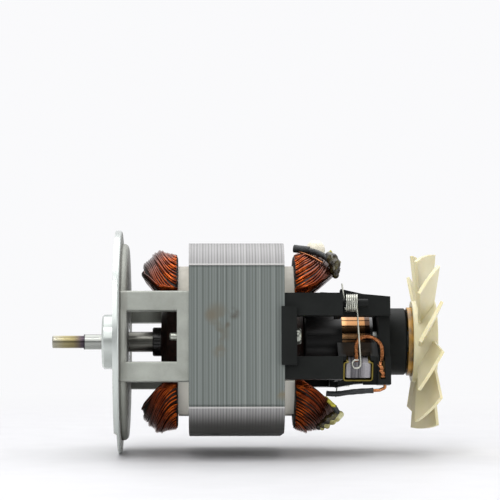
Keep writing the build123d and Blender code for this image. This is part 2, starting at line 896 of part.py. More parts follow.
# Brass brush tubes, open at the top where the spring reaches in
with BuildPart() as near_brush_tube:
    with BuildSketch(brush_plane(tube_in)):
        RectangleRounded(tube_w, tube_h, 1.2)
        RectangleRounded(
            brush_w + 2 * brush_fit,
            brush_h + 2 * brush_fit,
            brush_round,
            mode=Mode.SUBTRACT,
        )
    extrude(amount=tube_out - tube_in)
    with BuildSketch(brush_plane(tube_in + 2.5)):
        with Locations((0, tube_h / 2)):
            Rectangle(tube_slot + 2.6, 2.4)
    extrude(amount=tube_out, mode=Mode.SUBTRACT)
near_brush_tube.part.label = "near_brush_tube"

with BuildPart() as far_brush_tube:
    add(other_side(near_brush_tube.part))
far_brush_tube.part.label = "far_brush_tube"

# Carbon brushes, hollowed to the commutator, with a grooved band on the outer end
with BuildPart() as near_brush:
    with BuildSketch(brush_plane(comm_r - 3)):
        RectangleRounded(brush_w, brush_h, brush_round)
    extrude(amount=brush_out - comm_r + 3)
    chamfer(near_brush.faces().sort_by(Axis((0, 0, 0), brush_dir))[-1].edges(), brush_edge)
    with BuildSketch(Plane.YZ.offset(comm_x - 2)):
        Circle(comm_r + brush_air)
    extrude(amount=comm_len + 4, mode=Mode.SUBTRACT)
    with BuildSketch(brush_plane(brush_out)):
        with GridLocations(4.4 / (groove_count - 1), 0, groove_count, 1):
            Rectangle(0.4, brush_h)
    extrude(amount=-0.35, mode=Mode.SUBTRACT)
near_brush.part.label = "near_brush"

with BuildPart() as far_brush:
    add(other_side(near_brush.part))
far_brush.part.label = "far_brush"


# Brush springs: a coil on the post with a short leg against the web, and the long
# leg, which ends in a ring on the brush
coil_start = beam_x + spring_start
coil_end = coil_start + spring_turns * spring_pitch
leg_y = -post_y + spring_r
ring_x = coil_end + leg_lean
coil_plane = Plane(origin=(coil_start, -post_y, post_z), x_dir=(0, 1, 0), z_dir=(1, 0, 0))
with BuildPart() as coil_turns:
    with BuildLine() as coil_path:
        Helix(spring_pitch, spring_turns * spring_pitch, spring_r, lefthand=True)
    with BuildSketch(Plane(origin=coil_path.line @ 0, z_dir=coil_path.line % 0)):
        Circle(wire_r)
    sweep()

with BuildPart() as near_spring_coil:
    add(coil_turns.part.moved(coil_plane.location))
    with BuildLine() as short_path:
        Line(
            (coil_start, leg_y, post_z),
            (beam_x + wire_r + spring_rest, leg_y, post_z + short_leg),
        )
    with BuildSketch(Plane(origin=short_path.line @ 0, z_dir=short_path.line % 0)):
        Circle(wire_r)
    sweep()
near_spring_coil.part.label = "near_spring_coil"

with BuildPart() as near_spring_arm:
    with BuildLine() as arm_path:
        FilletPolyline(
            (coil_end, leg_y, post_z),
            (ring_x, leg_y, ring_z + ring_r),
            (ring_x, leg_y, ring_z - ring_r),
            (ring_x - 2 * ring_r, leg_y, ring_z - ring_r),
            (ring_x - 2 * ring_r, leg_y, ring_z + ring_r),
            (ring_x - 2.5 * wire_r, leg_y, ring_z + ring_r),
            radius=[ring_r * 0.5, ring_r * 0.98, ring_r * 0.98, ring_r * 0.9],
        )
    with BuildSketch(Plane(origin=arm_path.line @ 0, z_dir=arm_path.line % 0)):
        Circle(wire_r)
    sweep()
near_spring_arm.part.label = "near_spring_arm"

with BuildPart() as far_spring_coil:
    add(other_side(near_spring_coil.part))
far_spring_coil.part.label = "far_spring_coil"

with BuildPart() as far_spring_arm:
    add(other_side(near_spring_arm.part))
far_spring_arm.part.label = "far_spring_arm"

# Terminals, pressed into their pockets
with BuildPart() as near_terminal:
    with BuildSketch(Plane.XZ.offset(block_y - terminal_back)):
        with Locations((pocket_x, pocket_z)):
            Rectangle(pocket_w - 2 * terminal_fit, pocket_h - 2 * terminal_fit)
    extrude(amount=-(pocket_depth - terminal_back - terminal_fit))
    with BuildSketch(Plane.XZ.offset(block_y - terminal_back)):
        with Locations((pocket_x, pocket_z)):
            Rectangle(terminal_slit, pocket_h)
    extrude(amount=-pocket_depth * 0.6, mode=Mode.SUBTRACT)
near_terminal.part.label = "near_terminal"

with BuildPart() as far_terminal:
    add(other_side(near_terminal.part))
far_terminal.part.label = "far_terminal"


def tube(points, radii, r):
    # A round wire along straight runs joined by arcs.
    with BuildPart() as wire:
        with BuildLine() as path:
            FilletPolyline(*points, radius=radii)
        with BuildSketch(Plane(origin=path.line @ 0, z_dir=path.line % 0)):
            Circle(r)
        sweep()
    length = sum(edge.length for edge in path.edges())
    print(f"wire {length:.1f} mm, volume ratio {wire.part.volume / (length * pi * r * r):.3f}")
    return wire.part


# Copper braids from the brushes to the terminals
braid_top = brush_h / 2
braid_at = brush_out - braid_inset
braid_y = brush_dir[1] * braid_at + brush_dir[2] * braid_top
braid_z = brush_dir[2] * braid_at - brush_dir[1] * braid_top
braid_points = [
    (tube_mid_x - 0.7, braid_y, braid_z),
    (tube_mid_x - 0.7, braid_y + brush_dir[2] * 2.4, braid_z - brush_dir[1] * 2.4),
    (tube_mid_x - 0.9, braid_y - 0.5, -2.4),
    (tube_mid_x + 0.6, braid_y, 0.1),
    (tube_mid_x + 4.4, braid_y + 0.3, 0.9),
    (tube_mid_x + 7.8, braid_y + 0.3, -0.9),
    (pocket_x + 0.5, braid_y, -4.0),
    (pocket_x, braid_y, pocket_z + pocket_h / 2),
]
with BuildPart() as near_braid:
    add(tube(braid_points, [1.6, 2.6, 2.0, 2.0, 2.2, 2.6], braid_r))
near_braid.part.label = "near_braid"

with BuildPart() as far_braid:
    add(other_side(near_braid.part))
far_braid.part.label = "far_braid"

# Sleeved leads from the field coils to the terminals, with bare copper ends
lead_bare_x = end_wall_x - 2.2
lead_bare = (lead_bare_x, -20.6, -20.2)
lead_bend = (lead_bare_x - 8.4, -20.0, -20.6)


def along(start, end, share):
    # A point on the line from one point through another.
    return tuple(a + share * (b - a) for a, b in zip(start, end))


lower_points = [
    (82.1, -20.7, -21.3),
    (85.9, -20.2, -21.7),
    lead_bend,
    lead_bare,
]
with BuildPart() as lower_lead_sleeve:
    add(tube(lower_points, [lead_soft_bend, lead_wide_bend], lead_r))
lower_lead_sleeve.part.label = "lower_lead_sleeve"

far_bare = (pocket_x - 1.5, 20.8, 19.3)
far_bend = (far_bare[0] - 8.0, 20.4, 19.5)
upper_points = [
    (81.9, 21.2, 20.4),
    (86.5, 20.8, 20.1),
    far_bend,
    far_bare,
]
with BuildPart() as upper_lead_sleeve:
    add(tube(upper_points, [lead_wide_bend, lead_wide_bend], lead_r))
upper_lead_sleeve.part.label = "upper_lead_sleeve"

wire_points = [
    lead_bare,
    along(lead_bend, lead_bare, 1.28),
    (pocket_x + 1.2, -21.2, -terminal_z_low - 1.2),
    (pocket_x + 1.2, -21.2, -terminal_z_low - lead_end_gap),
]
with BuildPart() as lower_lead_wire:
    add(tube(wire_points, [1.6, 0.7], braid_r * 0.8))
lower_lead_wire.part.label = "lower_lead_wire"

far_drop = along(far_bend, far_bare, (pocket_x - far_bend[0]) / 8.0)
far_wire_points = [far_bare, far_drop, (*far_drop[:2], terminal_z_low + lead_end_gap)]
with BuildPart() as upper_lead_wire:
    add(tube(far_wire_points, [0.7], braid_r * 0.8))
upper_lead_wire.part.label = "upper_lead_wire"

# Sleeved lead of the thermal cutoff, laid over the upper coil to its tip, with a
# thick sleeve over the joint at its start
joint_start = (70.2, -8.6, 36.2)
joint_way = (76.3, -10.6, 35.3)
joint_run = sqrt(sum((b - a) ** 2 for a, b in zip(joint_start, joint_way)))
cutoff_points = [
    joint_start,
    joint_way,
    (80.7, -14.0, 33.4),
    (83.7, -17.0, 30.9),
    (86.1, -18.0, 27.6),
]
with BuildPart() as cutoff_lead_sleeve:
    add(tube(cutoff_points, [8.0, 5.0, 5.0], lead_r))
    with BuildLine() as joint_path:
        Line(joint_start, along(joint_start, joint_way, joint_sleeve_len / joint_run))
    with BuildSketch(Plane(origin=joint_start, z_dir=joint_path.line % 0)):
        Circle(joint_sleeve_r)
    sweep()
cutoff_lead_sleeve.part.label = "cutoff_lead_sleeve"

# Thermal cutoff, bedded on the upper coil
with BuildPart() as thermal_cutoff:
    with Locations((78.9, -3.6, 36.2)):
        Sphere(cutoff_r)
    add(upper_field_coil.part, mode=Mode.SUBTRACT)
    add(cutoff_lead_sleeve.part, mode=Mode.SUBTRACT)
thermal_cutoff.part.label = "thermal_cutoff"

os.makedirs("parts", exist_ok=True)
pieces = [
    flange_bracket,
    stator_laminations,
    slot_liners,
    upper_field_coil,
    lower_field_coil,
    stator_bolts,
    rear_bracket,
    front_bearing_outer_ring,
    front_bearing_inner_ring,
    front_bearing_balls,
    front_bearing_cage,
    rear_bearing_outer_ring,
    rear_bearing_inner_ring,
    rear_bearing_balls,
    rear_bearing_cage,
    shaft,
    armature_core,
    armature_windings,
    slot_wedges,
    shaft_bush,
    lead_wrap,
    commutator_core,
    commutator_bars,
    fan,
    near_brush_tube,
    far_brush_tube,
    near_brush,
    far_brush,
    near_spring_coil,
    far_spring_coil,
    near_spring_arm,
    far_spring_arm,
    near_terminal,
    far_terminal,
    near_braid,
    far_braid,
    lower_lead_sleeve,
    upper_lead_sleeve,
    lower_lead_wire,
    upper_lead_wire,
    cutoff_lead_sleeve,
    thermal_cutoff,
]
for piece in pieces:
    export_step(piece.part, f"parts/{piece.part.label}.step")
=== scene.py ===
import math
import random

import bpy
from mathutils import Matrix, Vector
from mathutils.bvhtree import BVHTree


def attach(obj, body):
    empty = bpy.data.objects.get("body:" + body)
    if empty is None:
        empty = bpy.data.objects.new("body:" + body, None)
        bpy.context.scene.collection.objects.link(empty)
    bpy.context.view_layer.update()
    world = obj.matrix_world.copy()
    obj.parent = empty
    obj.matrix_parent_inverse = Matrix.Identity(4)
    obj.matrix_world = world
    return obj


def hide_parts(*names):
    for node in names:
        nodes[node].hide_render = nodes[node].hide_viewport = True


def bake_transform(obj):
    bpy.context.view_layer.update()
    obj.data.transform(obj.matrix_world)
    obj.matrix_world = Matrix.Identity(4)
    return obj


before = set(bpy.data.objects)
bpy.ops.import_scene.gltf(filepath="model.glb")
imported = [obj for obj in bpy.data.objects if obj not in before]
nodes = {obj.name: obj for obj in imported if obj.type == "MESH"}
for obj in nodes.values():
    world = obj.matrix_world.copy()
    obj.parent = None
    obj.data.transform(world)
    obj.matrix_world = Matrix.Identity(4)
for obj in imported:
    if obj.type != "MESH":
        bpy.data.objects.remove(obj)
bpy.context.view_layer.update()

# The camera stands about a metre off on the brush side, nearly square to it and a
# little lower than the shaft, and looks up at the motor.
ahead = Vector((0.019265, 0.995003, 0.097971)).normalized()
right = Vector((0.999814, -0.019111, -0.002511))
up = right.cross(ahead).normalized()
right = ahead.cross(up).normalized()
camera_spot = Vector((0.034239, -0.971055, -0.059115))


def stood_at(spot, across, along, away):
    """The place of a thing that stands at a spot with its own axes these ways."""
    place = Matrix((across, along, away)).transposed().to_4x4()
    place.translation = spot
    return place


camera = bpy.data.objects.new("camera", bpy.data.cameras.new("camera"))
bpy.context.scene.collection.objects.link(camera)
camera.data.lens = 176.846
camera.data.sensor_width = 36.0
camera.data.clip_start = 0.05
camera.data.clip_end = 20.0
camera.matrix_world = stood_at(camera_spot, right, up, -ahead)
bpy.context.scene.camera = camera


# The bench: a pale level top under the rim of the flange. Its far part and the
# room behind it read as plain white, and only pale grey comes back from it.
def paint(code):
    """A screen colour as the light it sends back."""
    parts = [int(code[i : i + 2], 16) / 255 for i in (1, 3, 5)]
    return [c / 12.92 if c <= 0.04045 else ((c + 0.055) / 1.055) ** 2.4 for c in parts] + [1.0]


def feed(tree, socket, value):
    """Leads a value into a socket: from another socket, or as a number or a colour's code."""
    if isinstance(value, bpy.types.NodeSocket):
        tree.links.new(value, socket)
    else:
        socket.default_value = paint(value) if isinstance(value, str) else value


def put(tree, kind, **values):
    """A node in the finish. A value goes into the input of its name, or is a setting."""
    node = tree.nodes.new("ShaderNode" + kind)
    for key, value in values.items():
        socket = node.inputs.get(key.replace("_", " "))
        if socket is None:
            setattr(node, key, value)
        else:
            feed(tree, socket, value)
    return node


def finish(name, rough, metal=0.0):
    """A new finish with its shader, to which the piece's own pattern is added."""
    material = bpy.data.materials.new(name)
    material.use_nodes = True
    shader = material.node_tree.nodes["Principled BSDF"]
    shader.inputs["Roughness"].default_value = rough
    shader.inputs["Metallic"].default_value = metal
    return material, material.node_tree, shader


def cloud_of(tree, scale, detail, **more):
    """A soft random cloud that is fixed to the piece."""
    spot = put(tree, "TexCoord").outputs["Object"]
    return put(tree, "TexNoise", Vector=spot, Scale=scale, Detail=detail, **more).outputs["Fac"]


def blend_of(tree, value, stops):
    """The painted colour or grey level that a value picks from a ramp."""
    node = put(tree, "ValToRGB", Fac=value)
    ramp = node.color_ramp
    while len(ramp.elements) < len(stops):
        ramp.elements.new(0.5)
    for element, (place, colour) in zip(ramp.elements, stops):
        element.position = place
        element.color = paint(colour) if isinstance(colour, str) else (colour, colour, colour, 1)
    return node.outputs["Color"]


def worked(tree, operation, *values):
    """One step of arithmetic."""
    step = put(tree, "Math", operation=operation)
    for socket, value in zip(step.inputs, values):
        feed(tree, socket, value)
    return step.outputs["Value"]


def times(tree, product, *others):
    """The product of shares and numbers."""
    for other in others:
        product = worked(tree, "MULTIPLY", product, other)
    return product


def most(tree, largest, *others):
    """The largest of some shares."""
    for other in others:
        largest = worked(tree, "MAXIMUM", largest, other)
    return largest


def between(tree, value, low, high):
    """0 below the low value, 1 above the high one."""
    step = put(tree, "MapRange", interpolation_type="SMOOTHSTEP", Value=value, From_Min=low, From_Max=high)
    return step.outputs["Result"]


def laid_over(tree, share, under, over):
    """One colour over another, by a share. The colours are a mix's inputs 6 and 7."""
    mix = put(tree, "Mix", data_type="RGBA")
    for place, value in ((0, share), (6, under), (7, over)):
        feed(tree, mix.inputs[place], value)
    return mix.outputs[2]


def light_paths(tree):
    """What looks at the surface: the eye, a gloss or a clear body."""
    path = put(tree, "LightPath")
    return (path.outputs[f"Is {kind} Ray"] for kind in ("Camera", "Glossy", "Transmission"))


rim_radius = 0.044
rim_middle = Vector((0.0016, 0, 0))
rim_bottom = rim_middle - rim_radius * Vector((0, up.y, up.z)).normalized()
grey_within, white_beyond = 0.13, 0.42
white_light = (0.985, 0.985, 1.0, 1)
bpy.ops.object.select_all(action="DESELECT")
bpy.ops.mesh.primitive_grid_add(x_subdivisions=40, y_subdivisions=40, size=6.0)
bench = bpy.context.object
bench.name = "bench"
bench.data.transform(stood_at(rim_bottom, right, ahead, up))
bench_white, tree, shader = finish("bench_white", 0.55)
eye, gloss, clear = light_paths(tree)
speckle = blend_of(tree, cloud_of(tree, 60.0, 4.0), [(0.3, "#c6c6c8"), (0.7, "#cacacc")])
feed(tree, shader.inputs["Base Color"], laid_over(tree, eye, "#e9e9ea", speckle))
spot = put(tree, "TexCoord").outputs["Object"]
far = put(tree, "VectorMath", operation="LENGTH", Vector=spot).outputs["Value"]
share = times(tree, between(tree, far, grey_within, white_beyond), most(tree, eye, gloss, clear))
white = put(tree, "Emission", Color=white_light, Strength=0.97)
both = put(tree, "MixShader", Fac=share)
feed(tree, both.inputs[1], shader.outputs["BSDF"])
feed(tree, both.inputs[2], white.outputs["Emission"])
feed(tree, tree.nodes["Material Output"].inputs["Surface"], both.outputs["Shader"])
bench.data.materials.append(bench_white)


# The room: even soft light from all round. It is white above, behind and at the
# sides, as bright metal shows it, and darker on the side where one stands.
def level_between(tree, share, low, high):
    """A level between two others, by a share. The levels are a mix's inputs 2 and 3."""
    mix = put(tree, "Mix", data_type="FLOAT")
    for place, value in ((0, share), (2, low), (3, high)):
        feed(tree, mix.inputs[place], value)
    return mix.outputs[0]


room = bpy.data.worlds.new("room")
bpy.context.scene.world = room
room.use_nodes = True
tree = room.node_tree
lit = tree.nodes["Background"]
lit.inputs["Color"].default_value = white_light
eye, gloss, clear = light_paths(tree)
way = put(tree, "SeparateXYZ", Vector=put(tree, "TexCoord").outputs["Generated"])
in_metal = level_between(tree, between(tree, way.outputs["Y"], -0.75, -0.1), 0.1, 0.95)
on_motor = level_between(tree, gloss, 0.72, in_metal)
feed(tree, lit.inputs["Strength"], level_between(tree, most(tree, eye, clear), on_motor, 0.97))

# The lamps: soft boxes over the motor, before it and on both sides, and a small one
# that puts sparks on bright metal. All of them face the motor's middle.
middle = Vector((0.05, 0, 0))


def lamp(name, spot, size, watts):
    """A soft box, square, that faces the motor."""
    light = bpy.data.objects.new(name, bpy.data.lights.new(name, "AREA"))
    bpy.context.scene.collection.objects.link(light)
    light.data.size = size
    light.data.energy = watts
    light.location = spot
    light.rotation_mode = "QUATERNION"
    light.rotation_quaternion = (middle - spot).to_track_quat("-Z", "Y")


lamp("lamp_over", middle + 0.75 * up + 0.2 * ahead, 0.9, 6.0)
lamp("lamp_front", middle - 0.8 * ahead - 0.2 * right + 0.6 * up, 0.6, 3.2)
lamp("lamp_left", middle - 0.7 * right - 0.6 * ahead + 0.05 * up, 0.7, 2.4)
lamp("lamp_spark", middle - 0.45 * ahead - 0.15 * right + 0.75 * up, 0.14, 1.2)
lamp("lamp_right", middle + 0.7 * right - 0.6 * ahead + 0.05 * up, 0.7, 2.4)


# Flange bracket: one aluminium casting with a fine sandy skin, with darker brownish
# patches and a painted shadow line behind its rim. The rim and the nose are turned bright.
def on_axis(tree, axis):
    """Where a spot of the piece lies: X along the shaft, Y away from the eye, Z up."""
    return put(tree, "SeparateXYZ", Vector=put(tree, "TexCoord").outputs["Object"]).outputs[axis]


def from_shaft(tree):
    """The distance from the shaft's axis."""
    spoke = put(tree, "CombineXYZ", Y=on_axis(tree, "Y"), Z=on_axis(tree, "Z")).outputs["Vector"]
    return put(tree, "VectorMath", operation="LENGTH", Vector=spoke).outputs["Value"]


def band(tree, value, rise, full, fade, gone):
    """1 in a band of values, with soft edges."""
    return times(tree, between(tree, value, rise, full), between(tree, value, gone, fade))


def raised(tree, shader, pattern, strength, height):
    """Stands the surface up where the pattern is bright."""
    bump = put(tree, "Bump", Height=pattern, Strength=strength, Distance=height)
    feed(tree, shader.inputs["Normal"], bump.outputs["Normal"])


def dress(material, *names):
    """Gives each solid this finish."""
    for name in names:
        held = nodes[name]
        if not held.material_slots:
            held.data.materials.append(material)
        for slot in held.material_slots:
            slot.material = material


turned_radius = (0.0431, 0.0437)
nose_face = (-0.0001, -0.0004)
brownish_stretch = (0.0027, 0.0036, 0.0050, 0.0060)
rim_shadow = (0.0024, 0.0026, 0.0029, 0.0032)
cast_aluminium, tree, shader = finish("cast_aluminium", 0.5, 0.55)
along = on_axis(tree, "X")
cloud = cloud_of(tree, 90.0, 6.0, Roughness=0.6)
sand = cloud_of(tree, 2600.0, 3.0)
colour = blend_of(tree, cloud, [(0.3, "#888b84"), (0.55, "#979a93"), (0.75, "#a2a59e")])
# Darker brownish patches behind the rim.
brownish_patches = times(tree, band(tree, along, *brownish_stretch), between(tree, cloud, 0.25, 0.6), 0.2)
colour = laid_over(tree, brownish_patches, colour, "#5d5147")
on_rim = between(tree, from_shaft(tree), *turned_radius)
turned_bright = most(tree, on_rim, between(tree, along, *nose_face))
colour = laid_over(tree, turned_bright, colour, "#b2b7b4")
colour = laid_over(tree, times(tree, band(tree, along, *rim_shadow), 0.6), colour, "#3f3933")
feed(tree, shader.inputs["Base Color"], colour)
sandy = put(tree, "MapRange", Value=sand, To_Min=0.42, To_Max=0.6).outputs["Result"]
feed(tree, shader.inputs["Roughness"], level_between(tree, turned_bright, sandy, 0.26))
raised(tree, shader, sand, 0.3, 0.0001)
dress(cast_aluminium, "flange_bracket")


# Stator: punched sheets stacked along the shaft. Each sheet takes the light a
# little differently, and varnish and rust have stained some of them.
def off_by(tree, value, middle=0.0):
    """How far a value lies from the middle, to either side."""
    return worked(tree, "ABSOLUTE", worked(tree, "SUBTRACT", value, middle))


sheets_start = 0.03235
group_length = 0.00559
sheets_in_group = 5.0
sheets_per_metre = 1540.0
group_levels = (0.25, 0.85, 0.22, 0.62, 0.42, 0.62, 0.25)
group_stops = list(zip((0.0, 0.16, 0.37, 0.53, 0.68, 0.84, 1.0), group_levels))
painted_light_strip_height = (0.0268, 0.0270)
painted_highlight_edge = (0.02700, 0.02712, 0.02750, 0.02765)
painted_shade_underside = (-0.0262, -0.0348)
near_face = (-0.030, -0.034)
seam_share = (0.4, 0.7, 0.8, 1.0)
# A stain: its place along the shaft, its height, its size and its colour.
stains = (
    (0.0462, 0.0087, 0.0031, "#3c3323"),
    (0.0435, 0.0041, 0.0018, "#4a4030"),
    (0.0396, 0.0085, 0.0058, "#5e5b4f"),
    (0.0372, 0.0078, 0.0032, "#605b4e"),
    (0.0398, 0.0008, 0.0062, "#59564a"),
    (0.0409, -0.0060, 0.0040, "#605c50"),
    (0.0646, -0.0200, 0.0060, "#6b5f46"),
)
lamination_steel, tree, shader = finish("lamination_steel", 0.55, 0.35)
along = on_axis(tree, "X")
height = on_axis(tree, "Z")
cloud = cloud_of(tree, 120.0, 5.0)
groups = worked(tree, "MULTIPLY_ADD", along, 1 / group_length, -sheets_start / group_length)
count = worked(tree, "FLOOR", times(tree, along, sheets_per_metre))
each = put(tree, "TexWhiteNoise", noise_dimensions="1D", W=count).outputs["Value"]
grouped = blend_of(tree, worked(tree, "FRACT", groups), group_stops)
sheets = level_between(tree, 0.25, grouped, each)
face = blend_of(tree, sheets, [(0.2, "#575d5a"), (0.5, "#686e6b"), (0.8, "#7b817e")])
# The rounded top and bottom strips are painted lighter than the flat sides: painted light, as it falls on
# the rounded edges.
painted_light_strip = blend_of(tree, sheets, [(0.2, "#868585"), (0.5, "#908f8f"), (0.8, "#9b9a9a")])
from_level = off_by(tree, height)
colour = laid_over(tree, between(tree, from_level, *painted_light_strip_height), face, painted_light_strip)
place_in_sheet = worked(tree, "FRACT", times(tree, groups, sheets_in_group))
seam = times(tree, band(tree, place_in_sheet, *seam_share), 0.4)
colour = laid_over(tree, seam, colour, "#333836")
# Painted shade: the underside darkens towards the bottom.
colour = laid_over(tree, times(tree, between(tree, height, *painted_shade_underside), 0.95), colour, "#2a2926")
# A painted highlight along the edge of each strip.
colour = laid_over(tree, times(tree, band(tree, from_level, *painted_highlight_edge), 0.7), colour, "#c2c1be")
near_side = between(tree, on_axis(tree, "Y"), *near_face)
blotchy = between(tree, cloud, 0.46, 0.58)
on_side = put(tree, "CombineXYZ", X=along, Z=height).outputs["Vector"]
for x, z, size, code in stains:
    distance = put(tree, "VectorMath", operation="DISTANCE", Vector=on_side)
    distance.inputs[1].default_value = (x, 0.0, z)
    spread = between(tree, distance.outputs["Value"], size, 0.2 * size)
    colour = laid_over(tree, times(tree, spread, blotchy, near_side, 0.75), colour, code)
feed(tree, shader.inputs["Base Color"], colour)
raised(tree, shader, sheets, 0.3, 0.0001)
dress(lamination_steel, "stator_laminations", "armature_core")

# Slot liners: moulded plastic, off white, pushed into the stack's slots. The lower
# pair is painted lighter than the upper one: painted light from below.
painted_light_lower_pair = (0.004, -0.004)
liner_plastic, tree, shader = finish("liner_plastic", 0.5)
colour = blend_of(tree, cloud_of(tree, 300.0, 3.0), [(0.3, "#aeaa9e"), (0.7, "#bab6aa")])
# Painted light on the lower pair.
colour = laid_over(tree, between(tree, on_axis(tree, "Z"), *painted_light_lower_pair), colour, "#f2efe4")
feed(tree, shader.inputs["Base Color"], colour)
dress(liner_plastic, "slot_liners")


# Field coils: enamelled copper wire, wound on a former and pressed to shape. A brighter
# orange is painted on where it leaves the liners, a painted highlight, and it is darker at the coil's
# ends.
def drifting(name, rough, metal, scale, detail, stops, relief=None):
    """A finish whose shade drifts softly over the piece, with relief if it is given."""
    material, tree, shader = finish(name, rough, metal)
    cloud = cloud_of(tree, scale, detail)
    feed(tree, shader.inputs["Base Color"], blend_of(tree, cloud, stops))
    if relief:
        raised(tree, shader, cloud, *relief)
    return material


stack_middle = 0.0472
painted_highlight_stretch = (0.0305, 0.0245)
darker_ends_stretch = (0.0295, 0.0375)
wire_tones = []
for name, stops in (
    ("enamelled_wire", [(0.3, "#501b06"), (0.7, "#7c330c")]),
    ("enamelled_wire_dark", [(0.3, "#200e05"), (0.7, "#3c1808")]),
    ("enamelled_wire_bright", [(0.3, "#a3480f"), (0.7, "#e0761f")]),
):
    enamel, tree, shader = finish(name, 0.22, 0.85)
    cloud = cloud_of(tree, 240.0, 3.0)
    from_middle = off_by(tree, on_axis(tree, "X"), stack_middle)
    # A painted highlight: brighter orange where the wire leaves the liners.
    painted_highlight = times(tree, between(tree, from_middle, *painted_highlight_stretch), between(tree, cloud, 0.42, 0.6), 0.55)
    # Darker towards the coil's ends.
    darker_ends = times(tree, between(tree, from_middle, *darker_ends_stretch), between(tree, cloud, 0.3, 0.5), 0.8)
    colour = laid_over(tree, painted_highlight, blend_of(tree, cloud, stops), "#c25a18")
    colour = laid_over(tree, darker_ends, colour, "#140a06")
    feed(tree, shader.inputs["Base Color"], colour)
    shader.inputs["Specular IOR Level"].default_value = 0.3
    wire_tones.append(enamel)

# Under the outer turns the coil is painted nearly black: painted shade in the gaps
# between the wires. The armature is wound with thinner wire, nearly black.
painted_shade_inner_turns = drifting("painted_shade_inner_turns", 0.5, 0.3, 420.0, 4.0, [(0.35, "#0e0604"), (0.7, "#1f0d07")])
dress(painted_shade_inner_turns, "upper_field_coil", "lower_field_coil")
armature_stops = [(0.35, "#120906"), (0.7, "#2c130c")]
armature_wire = drifting("armature_wire", 0.45, 0.6, 600.0, 4.0, armature_stops, relief=(0.5, 0.0003))
dress(armature_wire, "armature_windings")

# The outer turns of a coil lie side by side. Each wire leaves its slot along the
# shaft, bends over the end of the coil and goes down into the other slot. A few have
# crossed their neighbours, and the flanks of the coil show the wires behind them.
wire_d = 0.00084
coil_radius = 0.0354
inmost_angle, inmost_loss, crowding = 12.0, 0.93, 1.15
bow_at_tip, bow_gain = 1.85, 0.35
half_steps = 14
tip_roll = 0.012
rolled_wires, crossing_wires = 3, 5
uneven_place, uneven_lead, uneven_flank = 0.16, 0.02, 0.3
lifts, crossing_lift, flank_lift = (0.16, 0.22, 0.3), 0.8, 0.2
crossing_drift = 0.07
flank_wires, flank_steps = 12, 12
flank_radius, flank_depth = 0.0242, 0.0108
tone_odds = (0, 0, 1, 1, 1, 2)
# An end of the coil: the stack's face, the way out, how far the coil stands out, the
# bend at its tip, the outermost wire's angle, its wires and its flank's heights.
front = dict(face=0.0247, way=-1, length=0.0144, bend=0.0044, low=70.0, count=18, flank=(0.0122, 0.0266))
rear = dict(face=0.0697, way=1, length=0.0186, bend=0.0030, low=67.0, count=20, flank=(0.0144, 0.0287))
body = nodes["upper_field_coil"].data
surface = BVHTree.FromPolygons([v.co for v in body.vertices], [p.vertices[:] for p in body.polygons])
chance = random.Random(7)


def end_turn_path(turn, share, lift, lead=0.0):
    """The points of one wire from slot to slot. The share runs from the outermost
    wire, at the tip, to the innermost, against the stack. Below 0 the wire rolls
    inwards round the tip. A lead moves its crown to one side."""
    kept = max(share, 0.0)
    slot_angle = math.radians(turn["low"] * (1 - kept) + inmost_angle * kept)
    depth = turn["length"] * (1 - inmost_loss * kept**crowding)
    bow = 2 / (bow_at_tip + bow_gain * kept)
    points = []
    for step in range(2 * half_steps + 1):
        across = step / half_steps - 1
        across = max(-1.0, min(1.0, across + lead * (1 - across**2)))
        rise = max(math.cos(across * math.pi / 2), 0.0)
        theta = math.copysign(slot_angle * abs(math.sin(across * math.pi / 2)) ** bow, across)
        d = depth * rise**bow
        past = max(d - (turn["length"] - turn["bend"]), 0.0)
        r = coil_radius - turn["bend"] + math.sqrt(max(turn["bend"] ** 2 - past**2, 0.0))
        r += min(share, 0.0) * tip_roll * rise**0.5
        guess = Vector((turn["face"] + turn["way"] * d, -r * math.sin(theta), r * math.cos(theta)))
        on, normal, _, _ = surface.find_nearest(guess)
        points.append(on + normal * lift)
    smooth = [points[0]]
    for before, spot, after in zip(points, points[1:], points[2:]):
        smooth.append(0.25 * before + 0.5 * spot + 0.25 * after)
    return smooth + [points[-1]]


def flank_path(turn, side, r):
    """The points of one wire down a coil's flank, from its slot to the tip."""
    (low_z, tip_z), points = turn["flank"], []
    for step in range(flank_steps + 1):
        z = low_z + (tip_z - low_z) * step / flank_steps
        x = turn["face"] + turn["way"] * turn["length"] * step / flank_steps
        guess = Vector((x, side * math.sqrt(max(r * r - z * z, 0.0)), z))
        on, normal, _, _ = surface.find_nearest(guess)
        points.append(on + normal * flank_lift * wire_d)
    return points


def curve_for(name, radius, sides):
    """An empty curve for round wires with closed ends."""
    data = bpy.data.curves.new(name, "CURVE")
    data.dimensions = "3D"
    data.bevel_depth = radius
    data.bevel_resolution = sides
    data.resolution_u = 2
    data.use_fill_caps = True
    return data


def bend_wire(data, spots):
    """Adds one smooth wire to the curve, with its ends on the first and last spots."""
    wire = data.splines.new("NURBS")
    wire.points.add(len(spots) - 1)
    for point, spot in zip(wire.points, spots):
        point.co = (*spot, 1)
    wire.order_u = 3
    wire.use_endpoint_u = True
    return wire


def mesh_of(data):
    """The curve as a mesh in the scene."""
    piece = bpy.data.objects.new(data.name, data)
    bpy.context.scene.collection.objects.link(piece)
    bpy.ops.object.select_all(action="DESELECT")
    piece.select_set(True)
    bpy.context.view_layer.objects.active = piece
    bpy.ops.object.convert(target="MESH")
    return bpy.context.object


def wires(name, paths, thickness, sides, finishes, tones=(0,)):
    """Wires side by side as one piece. The tones say which finish each wire has."""
    data = curve_for(name, thickness / 2, sides)
    for n, path in enumerate(paths):
        bend_wire(data, path).material_index = tones[n % len(tones)]
    for material in finishes:
        data.materials.append(material)
    piece = mesh_of(data)
    bpy.ops.object.shade_smooth()
    return piece


